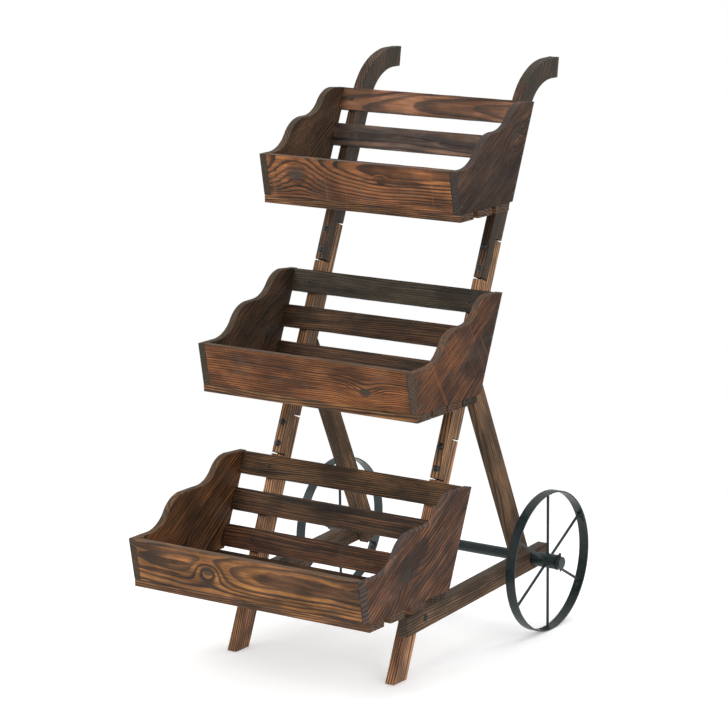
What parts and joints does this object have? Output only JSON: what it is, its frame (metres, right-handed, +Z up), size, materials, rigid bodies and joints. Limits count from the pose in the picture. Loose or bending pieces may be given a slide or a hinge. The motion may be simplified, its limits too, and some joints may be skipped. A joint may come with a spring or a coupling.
{
  "type": "flower cart stand",
  "caption": "Leaning three-tier wooden planter stand with scrolled side panels, slatted box floors, curved push handles and two spoked iron wheels on a rear axle.",
  "frame": {"origin": "centre of the footprint on the floor, under the middle of the stand", "axes": "+X is the stand's right, +Y its rear (wheels and handles), +Z up"},
  "size_m": [0.627, 0.8836, 1.2371],
  "materials": {
    "scorched_board": "scorched and wire-brushed softwood boards, raised grain",
    "scorched_frame": "scorched softwood frame stock, matt",
    "green_black_iron": "green-black painted flat bar and rod, satin",
    "dark_fixings": "blackened steel bolts, screws and nails"
  },
  "bodies": {
    "frame": {"axle_caps": "green_black_iron", "axle_spacers": "green_black_iron", "axle_tube": "green_black_iron", "axle_washers": "green_black_iron", "beam_bolts": "dark_fixings", "bottom_box_back_bottom": "scorched_board", "bottom_box_back_middle": "scorched_board", "bottom_box_back_top": "scorched_board", "bottom_box_floor_1": "scorched_board", "bottom_box_floor_2": "scorched_board", "bottom_box_floor_3": "scorched_board", "bottom_box_floor_4": "scorched_board", "bottom_box_front": "scorched_board", "bottom_box_side_left": "scorched_board", "bottom_box_side_right": "scorched_board", "box_screws": "dark_fixings", "cotter_pins": "green_black_iron", "leg_screws": "dark_fixings", "lower_beam_left": "scorched_frame", "lower_beam_right": "scorched_frame", "middle_box_back_bottom": "scorched_board", "middle_box_back_middle": "scorched_board", "middle_box_back_top": "scorched_board", "middle_box_floor_1": "scorched_board", "middle_box_floor_2": "scorched_board", "middle_box_floor_3": "scorched_board", "middle_box_floor_4": "scorched_board", "middle_box_front": "scorched_board", "middle_box_side_left": "scorched_board", "middle_box_side_right": "scorched_board", "panel_screws": "dark_fixings", "rail_foot_left": "scorched_frame", "rail_foot_right": "scorched_frame", "rail_handle_left": "scorched_frame", "rail_handle_right": "scorched_frame", "rail_middle_left": "scorched_frame", "rail_middle_right": "scorched_frame", "rear_leg_left": "scorched_frame", "rear_leg_right": "scorched_frame", "slat_nails": "dark_fixings", "splice_bolts": "dark_fixings", "splice_nuts": "dark_fixings", "splice_washers": "dark_fixings", "top_box_back_bottom": "scorched_board", "top_box_back_middle": "scorched_board", "top_box_back_top": "scorched_board", "top_box_floor_1": "scorched_board", "top_box_floor_2": "scorched_board", "top_box_floor_3": "scorched_board", "top_box_front": "scorched_board", "top_box_side_left": "scorched_board", "top_box_side_right": "scorched_board"},
    "wheel_left": {"wheel_hub_left": "green_black_iron", "wheel_rim_left": "green_black_iron", "wheel_rivets_left": "green_black_iron", "wheel_spokes_left": "green_black_iron"},
    "wheel_right": {"wheel_hub_right": "green_black_iron", "wheel_rim_right": "green_black_iron", "wheel_rivets_right": "green_black_iron", "wheel_spokes_right": "green_black_iron"}
  },
  "joints": [
    {"name": "wheel_left_spin", "type": "hinge", "parent": "frame", "child": "wheel_left", "pos_m": [-0.277, 0.287, 0.155], "axis": [1, 0, 0], "continuous": true},
    {"name": "wheel_right_spin", "type": "hinge", "parent": "frame", "child": "wheel_right", "pos_m": [0.277, 0.287, 0.155], "axis": [1, 0, 0], "continuous": true}
  ]
}
